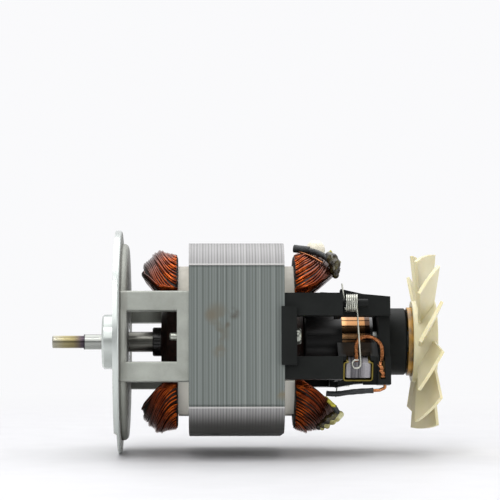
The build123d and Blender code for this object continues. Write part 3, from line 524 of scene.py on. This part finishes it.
for half, half_turn in (("upper", 0.0), ("lower", math.pi)):
    paths = []
    for turn in (front, rear):
        for n in range(-rolled_wires, turn["count"]):
            share = (n + chance.uniform(-uneven_place, uneven_place)) / (turn["count"] - 1)
            lift = chance.choice(lifts) * wire_d
            lead = chance.uniform(-uneven_lead, uneven_lead)
            paths.append(end_turn_path(turn, min(share, 1), lift, lead))
        for n in range(crossing_wires):
            share = chance.uniform(0.02, 0.9)
            first = end_turn_path(turn, share, crossing_lift * wire_d)
            share += chance.uniform(-crossing_drift, crossing_drift)
            second = end_turn_path(turn, share, crossing_lift * wire_d)
            paths.append([a.lerp(b, k / (2 * half_steps)) for k, (a, b) in enumerate(zip(first, second))])
        for side in (-1, 1):
            for n in range(flank_wires):
                layer = (n + chance.uniform(-uneven_flank, uneven_flank)) / (flank_wires - 1)
                paths.append(flank_path(turn, side, flank_radius + flank_depth * layer))
    tones = [chance.choice(tone_odds) for _ in paths]
    turns = wires(f"{half}_coil_turns", paths, wire_d, 1, wire_tones, tones)
    turns.data.transform(Matrix.Rotation(half_turn, 4, "X"))
    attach(turns, "housing")

# Stator bolts: plated steel with domed heads. They run through the stack and clamp
# both brackets to it.
plated_steel = drifting("plated_steel", 0.3, 0.9, 900.0, 3.0, [(0.3, "#8b8e86"), (0.7, "#a5a89f")])
dress(plated_steel, "stator_bolts")

# Rear bracket: black moulding with a fine even satin skin. Brown dust from the
# brushes lies round the commutator.
dusty_length = (0.0875, 0.0895, 0.0990, 0.1005)
dusty_height = (0.0095, 0.0065)
dusty_depth = (0.0245, 0.0215)
bracket_plastic, tree, shader = finish("bracket_plastic", 0.5)
shader.inputs["Specular IOR Level"].default_value = 0.12
cloud = cloud_of(tree, 120.0, 5.0)
by_brush = times(
    tree,
    band(tree, on_axis(tree, "X"), *dusty_length),
    between(tree, off_by(tree, on_axis(tree, "Z")), *dusty_height),
    between(tree, off_by(tree, on_axis(tree, "Y")), *dusty_depth),
)
dust = times(tree, by_brush, between(tree, cloud, 0.3, 0.65), 0.7)
colour = blend_of(tree, cloud, [(0.3, "#111312"), (0.7, "#171918")])
feed(tree, shader.inputs["Base Color"], laid_over(tree, dust, colour, "#3b3026"))
dusty = put(tree, "MapRange", Value=by_brush, To_Min=0.5, To_Max=1.0).outputs["Result"]
feed(tree, shader.inputs["Roughness"], dusty)
raised(tree, shader, cloud_of(tree, 3500.0, 2.0), 0.12, 0.00005)
dress(bracket_plastic, "rear_bracket")

# Ball bearings: hardened steel rings and balls, ground and polished, with pressed
# brass cages. The outer rings are pushed into the brackets.
bearing_steel = drifting("bearing_steel", 0.16, 1.0, 1200.0, 2.0, [(0.3, "#b7b9ba"), (0.7, "#c9cbcc")])
cage_brass = drifting("cage_brass", 0.3, 1.0, 900.0, 3.0, [(0.3, "#a58b45"), (0.7, "#c0a75e")])
for end in ("front", "rear"):
    dress(bearing_steel, f"{end}_bearing_outer_ring", f"{end}_bearing_inner_ring", f"{end}_bearing_balls")
    dress(cage_brass, f"{end}_bearing_cage")


# Shaft: ground steel. Its thin end was heated and has run to straw and violet. Between
# the flange and the armature it is painted darker, a painted shade.
def rings_of(tree, along, scale, detail):
    """Fine rings, one after another along the shaft."""
    return put(tree, "TexNoise", noise_dimensions="1D", W=along, Scale=scale, Detail=detail).outputs["Fac"]


heated_from, heated_to = -0.0251, -0.0117
shaft_painted_shade_length = (0.0015, 0.0035, 0.0240, 0.0250)
heat_stops = [
    (0.0, "#8d8b80"),
    (0.35, "#7e7658"),
    (0.62, "#6f6646"),
    (0.85, "#453b42"),
    (0.95, "#2d2830"),
    (0.97, "#8e908c"),
]
shaft_steel, tree, shader = finish("shaft_steel", 0.28, 0.9)
along = on_axis(tree, "X")
heated = put(tree, "MapRange", Value=along, From_Min=heated_from, From_Max=heated_to).outputs["Result"]
# Painted shade: darker between the flange and the armature.
shaft_painted_shade = times(tree, band(tree, along, *shaft_painted_shade_length), 0.65)
colour = laid_over(tree, shaft_painted_shade, blend_of(tree, heated, heat_stops), "#47433a")
feed(tree, shader.inputs["Base Color"], colour)
raised(tree, shader, rings_of(tree, along, 9000.0, 2.0), 0.08, 0.00003)
dress(shaft_steel, "shaft")

# Slot wedges: pressed fibre strips, pushed in from the end, that close the
# armature's slots over the wire.
wedge_fibre = drifting("wedge_fibre", 0.7, 0.0, 700.0, 5.0, [(0.3, "#8d4a33"), (0.7, "#a9604a")])
dress(wedge_fibre, "slot_wedges")

# Bush and commutator body: glossy black mouldings, pressed on the shaft. They keep
# the winding off it and hold the bars.
black_moulding, tree, shader = finish("black_moulding", 0.22)
rings = rings_of(tree, on_axis(tree, "X"), 1400.0, 2.0)
feed(tree, shader.inputs["Base Color"], blend_of(tree, rings, [(0.3, "#151514"), (0.7, "#222120")]))
raised(tree, shader, rings, 0.2, 0.0001)
dress(black_moulding, "shaft_bush", "commutator_core")

# Lead wrap: a dull black sleeve, bound tight over the leads that run from the
# armature's winding to the commutator.
wrap_sleeve, tree, shader = finish("wrap_sleeve", 0.36)
shader.inputs["Specular IOR Level"].default_value = 0.4
colour = blend_of(tree, cloud_of(tree, 180.0, 4.0), [(0.3, "#0b0b0b"), (0.7, "#141414")])
feed(tree, shader.inputs["Base Color"], colour)
raised(tree, shader, rings_of(tree, on_axis(tree, "X"), 260.0, 1.0), 0.25, 0.0002)
dress(wrap_sleeve, "lead_wrap")

# Commutator bars: hard copper, moulded into their body and turned round with it.
# The brushes have worn a brown track.
bars_front, bars_rear = 0.0889, 0.0998
track_stops = [(0.0, "#b98f66"), (0.1, "#ad845b"), (0.2, "#8a6544"), (0.8, "#7e5b3a"), (0.84, "#3a2a20")]
commutator_copper, tree, shader = finish("commutator_copper", 0.2, 1.0)
along = on_axis(tree, "X")
track = put(tree, "MapRange", Value=along, From_Min=bars_front, From_Max=bars_rear).outputs["Result"]
feed(tree, shader.inputs["Base Color"], blend_of(tree, track, track_stops))
raised(tree, shader, rings_of(tree, along, 7000.0, 2.0), 0.15, 0.00004)
dress(commutator_copper, "commutator_bars")


# Fan: one ivory moulding, pushed on the shaft's end. The inside of its hub is painted
# amber: painted shade, with the light that comes through its wall.
def let_light_in(shader, weight, reach, scale):
    """Lets light a little way into the piece."""
    shader.inputs["Subsurface Weight"].default_value = weight
    shader.inputs["Subsurface Radius"].default_value = reach
    shader.inputs["Subsurface Scale"].default_value = scale


hub_inside = (0.01395, 0.01385)
hub_back = (0.1250, 0.1248)
fan_plastic, tree, shader = finish("fan_plastic", 0.4)
cloud = cloud_of(tree, 70.0, 4.0)
ivory = blend_of(tree, cloud, [(0.3, "#c4bc94"), (0.7, "#d2cbac")])
painted_shade_amber = blend_of(tree, cloud, [(0.3, "#8c7038"), (0.7, "#a08650")])
within = between(tree, from_shaft(tree), *hub_inside)
painted_shade_in_hub = times(tree, within, between(tree, on_axis(tree, "X"), *hub_back))
# Painted shade and light through the wall: amber inside the hub.
feed(tree, shader.inputs["Base Color"], laid_over(tree, painted_shade_in_hub, ivory, painted_shade_amber))
let_light_in(shader, 0.3, (0.004, 0.003, 0.0015), 0.6)
dress(fan_plastic, "fan")

# The fan's hub has a thin inner rim that reaches back towards the bearing. Its amber
# is painted: painted shade and the light that comes through it.
hub_rim_radius, hub_rim_width, hub_rim_wall = 0.0135, 0.0024, 0.0008
hub_rim_middle = 0.1160
rim_stops = [(0.38, "#5a4419"), (0.5, "#9a7023"), (0.62, "#bb8b34")]
amber_rim = drifting("amber_rim", 0.35, 0.0, 140.0, 4.0, rim_stops)
bpy.ops.object.select_all(action="DESELECT")
bpy.ops.mesh.primitive_cylinder_add(
    vertices=96,
    radius=hub_rim_radius,
    depth=hub_rim_width,
    end_fill_type="NOTHING",
    location=(hub_rim_middle, 0, 0),
    rotation=(0, math.pi / 2, 0),
)
rim = bpy.context.object
bpy.ops.object.transform_apply(location=True, rotation=True, scale=True)
rim.name = "fan_hub_rim"
wall = rim.modifiers.new("wall", "SOLIDIFY")
wall.thickness = hub_rim_wall
soft = rim.modifiers.new("soft", "BEVEL")
soft.width = hub_rim_wall / 4
soft.segments = 2
for modifier in ("wall", "soft"):
    bpy.ops.object.modifier_apply(modifier=modifier)
bpy.ops.object.shade_smooth_by_angle(angle=math.radians(40))
rim.data.materials.append(amber_rim)
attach(rim, "rotor")

# Brush tubes and terminals: the tubes are folded brass, pressed into the bracket as
# guides. The terminals are brass clips deep in their pockets, tarnished nearly black.
tube_brass = drifting("tube_brass", 0.3, 1.0, 500.0, 4.0, [(0.3, "#6c5f2c"), (0.7, "#84763b")])
dark_brass = drifting("dark_brass", 0.5, 0.8, 600.0, 4.0, [(0.3, "#2b2519"), (0.7, "#5a4c2c")])
for side in ("near", "far"):
    dress(tube_brass, f"{side}_brush_tube")
    dress(dark_brass, f"{side}_terminal")

# Brushes: pressed carbon, dull grey with a fine grain. The face that the braid is
# tamped into is darker.
brush_middle = 0.0936
tamped_width = (0.0027, 0.0021)
carbon, tree, shader = finish("carbon", 0.6, 0.2)
along = on_axis(tree, "X")
grain = cloud_of(tree, 2400.0, 4.0)
on_face = between(tree, off_by(tree, along, brush_middle), *tamped_width)
grooves = between(tree, rings_of(tree, along, 1900.0, 1.0), 0.2, 0.6)
colour = blend_of(tree, grain, [(0.3, "#8e8c90"), (0.7, "#a8a6aa")])
colour = laid_over(tree, times(tree, on_face, grooves, 0.85), colour, "#3b393e")
feed(tree, shader.inputs["Base Color"], colour)
raised(tree, shader, grain, 0.3, 0.0001)
dress(carbon, "near_brush", "far_brush")

# Brush springs: hard drawn steel wire, wound on a post. The arm ends in a loop that
# presses on the brush.
spring_wire = drifting("spring_wire", 0.3, 0.85, 1500.0, 3.0, [(0.3, "#b6b7ab"), (0.7, "#d6d7ce")])
for side in ("near", "far"):
    dress(spring_wire, f"{side}_spring_coil", f"{side}_spring_arm")

# Braids: fine soft copper strands plaited round each other, tamped into the brush
# and pressed with their other end into the terminal.
strand_count, strand_turns, strand_wave = 7, 6, 0.12
braid_core_d, braid_radius, strand_d = 0.0011, 0.00062, 0.0003
braid_route = [
    (0.09365, -0.02191, -0.00884),
    (0.09365, -0.02311, -0.00676),
    (0.09345, -0.02241, -0.00240),
    (0.09495, -0.02191, 0.00010),
    (0.09875, -0.02161, 0.00090),
    (0.10215, -0.02161, -0.00090),
    (0.10400, -0.02191, -0.00400),
    (0.10350, -0.02191, -0.00880),
]
brush_end = Vector((0.0937, -0.0222, -0.0050))
terminal_end = Vector((0.1030, -0.0219, -0.0040))
bare_copper = drifting("bare_copper", 0.3, 1.0, 1500.0, 3.0, [(0.3, "#84492a"), (0.7, "#d0905f")])


def middle_line(spots):
    """The smooth line that a wire follows, read from its own spline."""
    data = bpy.data.curves.new("line", "CURVE")
    data.dimensions = "3D"
    data.resolution_u = 8
    bend_wire(data, spots)
    guide = bpy.data.objects.new("line", data)
    bpy.context.scene.collection.objects.link(guide)
    mesh = bpy.data.meshes.new_from_object(guide)
    line = [v.co.copy() for v in mesh.vertices]
    bpy.data.objects.remove(guide)
    return line


def strands(line, count, turns, radius):
    """Two sets of strands wound both ways round a line, over and under each other."""
    paths = [[] for _ in range(2 * count)]
    side = Vector((0, 1, 0))
    for k, spot in enumerate(line):
        run = (line[min(k + 1, len(line) - 1)] - line[max(k - 1, 0)]).normalized()
        side = (side - run * side.dot(run)).normalized()
        other = run.cross(side)
        for n in range(2 * count):
            hand = 1 if n < count else -1
            angle = hand * 2 * math.pi * turns * k / len(line) + 2 * math.pi * n / count
            r = radius * (1 + strand_wave * math.cos(count * angle * hand))
            paths[n].append(spot + r * (side * math.cos(angle) + other * math.sin(angle)))
    return paths


def joined(first, *others):
    """Makes pieces one."""
    bpy.ops.object.select_all(action="DESELECT")
    for piece in (first, *others):
        piece.select_set(True)
    bpy.context.view_layer.objects.active = first
    bpy.ops.object.join()
    return first


line = middle_line(braid_route)
for side, half_turn in (("near", 0.0), ("far", math.pi)):
    core = wires(f"{side}_braid_core", [line], braid_core_d, 1, [bare_copper])
    paths = strands(line, strand_count, strand_turns, braid_radius)
    plait = joined(wires(f"{side}_braid_strands", paths, strand_d, 0, [bare_copper]), core)
    turned = Matrix.Rotation(half_turn, 4, "X")
    plait.data.transform(turned)
    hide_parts(f"{side}_braid")
    start, end = (tuple(turned @ spot) for spot in (brush_end, terminal_end))
    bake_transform(plait)

# Bare ends of the leads: the same copper, stripped of its sleeve and turned up into
# the terminals.
dress(bare_copper, "lower_lead_wire", "upper_lead_wire")

# Leads: each coil end is taken out in soft black woven tubing. One runs over the
# upper coil to the thermal cutoff and has a thicker sleeve over its joint.
lead_sleeve, tree, shader = finish("lead_sleeve", 0.5)
sleeve_stops = [(0.3, "#0f1214"), (0.55, "#191d1f"), (0.75, "#2d3335")]
feed(tree, shader.inputs["Base Color"], blend_of(tree, cloud_of(tree, 500.0, 4.0), sleeve_stops))
weave = put(tree, "TexVoronoi", Vector=put(tree, "TexCoord").outputs["Object"], Scale=2600.0)
raised(tree, shader, weave.outputs["Distance"], 0.5, 0.00015)
lead_radius, cutoff_lead_radius, cutoff_joint_radius = 0.00105, 0.00115, 0.00155
lower_lead_route = [
    (0.0821, -0.0207, -0.0213),
    (0.0859, -0.0202, -0.0217),
    (0.0919, -0.0200, -0.0206),
    (0.1003, -0.0206, -0.0202),
]
upper_lead_route = [
    (0.0819, 0.0212, 0.0204),
    (0.0865, 0.0208, 0.0201),
    (0.0940, 0.0204, 0.0195),
    (0.1020, 0.0208, 0.0193),
]
cutoff_lead_route = [
    (0.0702, -0.0086, 0.0362),
    (0.0763, -0.0106, 0.0353),
    (0.0807, -0.0140, 0.0334),
    (0.0837, -0.0170, 0.0309),
    (0.0861, -0.0180, 0.0276),
]
cutoff_joint_route = [(0.0702, -0.0086, 0.0362), (0.0733, -0.0096, 0.03575), (0.0761, -0.0105, 0.0353)]


def tubing(name, route, radius, material, wave=0.06):
    """A soft tube along a route, a little uneven in width, with closed ends."""
    data = curve_for(name, radius, 4)
    for point in bend_wire(data, middle_line(route)).points:
        point.radius = 1 + chance.uniform(-wave, wave)
    tube = mesh_of(data)
    bpy.ops.object.shade_smooth_by_angle(angle=math.radians(50))
    tube.data.materials.append(material)
    return tube


lower_lead = tubing("lower_lead_tubing", lower_lead_route, lead_radius, lead_sleeve)
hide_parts("lower_lead_sleeve")
upper_lead = tubing("upper_lead_tubing", upper_lead_route, lead_radius, lead_sleeve)
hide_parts("upper_lead_sleeve")
cutoff_lead = joined(
    tubing("cutoff_lead_tubing", cutoff_lead_route, cutoff_lead_radius, lead_sleeve),
    tubing("cutoff_joint_sleeve", cutoff_joint_route, cutoff_joint_radius, lead_sleeve, 0.03),
)
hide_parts("cutoff_lead_sleeve")
for lead in (lower_lead, upper_lead, cutoff_lead):
    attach(lead, "housing")

# Where the leads leave the lower coil a short piece of yellow tubing holds their
# joint, with a black tip.
yellow_stops = [(0.35, "#77701a"), (0.6, "#b8b02a"), (0.75, "#cfc64e")]
yellow_tubing = drifting("yellow_tubing", 0.4, 0.0, 700.0, 3.0, yellow_stops)
yellow_radius, black_tip_radius = 0.0008, 0.00095
yellow_route = [(0.0812, -0.0224, -0.0229), (0.0834, -0.0224, -0.0248), (0.0854, -0.0218, -0.0267)]
black_tip_route = [(0.0849, -0.0219, -0.0262), (0.0858, -0.0212, -0.0275), (0.0864, -0.0203, -0.0288)]
yellow_joint = joined(
    tubing("yellow_joint", yellow_route, yellow_radius, yellow_tubing, 0.1),
    tubing("black_joint_tip", black_tip_route, black_tip_radius, lead_sleeve, 0.15),
)
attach(yellow_joint, "housing")

# One copper strand of the upper coil's end lies bare over its turns, and runs to the
# cutoff's lead.
loose_strand_d = 0.00062
loose_strand_route = [
    (0.0722, -0.0100, 0.0349),
    (0.0740, -0.0126, 0.0338),
    (0.0772, -0.0160, 0.0323),
    (0.0808, -0.0206, 0.0295),
]
loose_strand = wires("upper_coil_strand", [loose_strand_route], loose_strand_d, 2, [bare_copper])
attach(loose_strand, "housing")

# The joints on the coils are set in resin, dropped on by hand: dark olive where it
# has soaked in, pale and half clear where it stands thin. A drop is a spot and a radius.
dark_stops = [(0.35, "#0f0c07"), (0.5, "#231d10"), (0.68, "#4a4526")]
pale_stops = [(0.35, "#66602a"), (0.52, "#9a9560"), (0.7, "#c3c4a4")]
joint_resin = drifting("joint_resin", 0.22, 0.0, 420.0, 4.0, dark_stops)
pale_resin = drifting("pale_resin", 0.25, 0.0, 420.0, 4.0, pale_stops)
let_light_in(pale_resin.node_tree.nodes["Principled BSDF"], 0.3, (0.002, 0.002, 0.0012), 0.6)
upper_dark_drops = [
    (0.0836, -0.0152, 0.0326, 0.0019),
    (0.0849, -0.0168, 0.0312, 0.0024),
    (0.0857, -0.0178, 0.0292, 0.0025),
    (0.0859, -0.0184, 0.0268, 0.0021),
    (0.0860, -0.0188, 0.0247, 0.0014),
]
upper_pale_drops = [
    (0.0838, -0.0132, 0.0335, 0.0012),
    (0.0853, -0.0150, 0.0326, 0.0011),
    (0.0875, -0.0168, 0.0300, 0.0009),
]
lower_dark_drops = [
    (0.0862, -0.0196, -0.0292, 0.0017),
    (0.0848, -0.0196, -0.0302, 0.0020),
    (0.0830, -0.0188, -0.0314, 0.0020),
    (0.0812, -0.0170, -0.0329, 0.0018),
    (0.0794, -0.0148, -0.0339, 0.0014),
]
lower_pale_drops = [
    (0.0873, -0.0198, -0.0295, 0.0016),
    (0.0862, -0.0200, -0.0310, 0.0014),
    (0.0844, -0.0198, -0.0323, 0.0014),
    (0.0824, -0.0182, -0.0336, 0.0013),
    (0.0806, -0.0160, -0.0346, 0.0010),
]
upper_sleeve_radius = 0.0007
upper_sleeve_route = [(0.0836, -0.0126, 0.0336), (0.0842, -0.0130, 0.0342), (0.0848, -0.0132, 0.0346)]


def resin_lump(name, drops, material):
    """Drops of resin that have run together."""
    lumps = []
    for x, y, z, r in drops:
        bpy.ops.object.select_all(action="DESELECT")
        bpy.ops.mesh.primitive_ico_sphere_add(subdivisions=3, radius=r, location=(x, y, z))
        lumps.append(bpy.context.object)
    lump = joined(*lumps)
    bpy.ops.object.transform_apply(location=True, rotation=True, scale=True)
    lump.name = name
    remesh = lump.modifiers.new("run_together", "REMESH")
    remesh.mode = "VOXEL"
    remesh.voxel_size = 0.0003
    smooth = lump.modifiers.new("drawn_smooth", "SMOOTH")
    smooth.iterations = 16
    uneven = bpy.data.textures.new(name + "_uneven", "CLOUDS")
    uneven.noise_scale = 0.003
    push = lump.modifiers.new("uneven", "DISPLACE")
    push.texture = uneven
    push.texture_coords = "LOCAL"
    push.strength = 0.0005
    for modifier in ("run_together", "drawn_smooth", "uneven"):
        bpy.ops.object.modifier_apply(modifier=modifier)
    bpy.ops.object.shade_smooth()
    lump.data.materials.append(material)
    return lump


upper_resin = joined(
    resin_lump("upper_joint_resin", upper_dark_drops, joint_resin),
    resin_lump("upper_pale_resin", upper_pale_drops, pale_resin),
    tubing("upper_joint_sleeve", upper_sleeve_route, upper_sleeve_radius, yellow_tubing, 0.1),
)
lower_resin = joined(
    resin_lump("lower_joint_resin", lower_dark_drops, joint_resin),
    resin_lump("lower_pale_resin", lower_pale_drops, pale_resin),
)
for resin in (upper_resin, lower_resin):
    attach(resin, "housing")

# Ends of the braids: the copper strands are pressed flat, folded to a wave and pushed
# into the terminals.
end_top = Vector((0.1024, -0.0243, -0.0092))
end_length, end_lean, end_width, end_thick = 0.0062, 0.0017, 0.0016, 0.0003
wave_depth, side_wave, wave_pace, end_skew = 0.00035, 0.0003, 17, 0.0003
for side, half_turn in (("near", 0.0), ("far", math.pi)):
    bpy.ops.object.select_all(action="DESELECT")
    bpy.ops.mesh.primitive_grid_add(x_subdivisions=6, y_subdivisions=30, size=1.0)
    fold = bpy.context.object
    fold.name = f"{side}_braid_end"
    for v in fold.data.vertices:
        run, across = v.co.y + 0.5, v.co.x
        x = end_lean * run + end_width * across + side_wave * math.sin(run * wave_pace + 1.0)
        y = wave_depth * math.sin(run * wave_pace) + end_skew * across
        v.co = end_top + Vector((x, y, -end_length * run))
    thick = fold.modifiers.new("thick", "SOLIDIFY")
    thick.thickness = end_thick
    bpy.ops.object.modifier_apply(modifier="thick")
    bpy.ops.object.shade_smooth()
    fold.data.transform(Matrix.Rotation(half_turn, 4, "X"))
    fold.data.materials.append(bare_copper)
    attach(fold, "housing")

# Thermal cutoff: a small switch set in a lump of cream resin, which holds it on the
# upper coil.
cutoff_resin = drifting("cutoff_resin", 0.35, 0.0, 250.0, 4.0, [(0.3, "#cfc9b4"), (0.7, "#e4dfcf")])
dress(cutoff_resin, "thermal_cutoff")

# The colours are shown as they are written.
bpy.context.scene.view_settings.view_transform = "Standard"
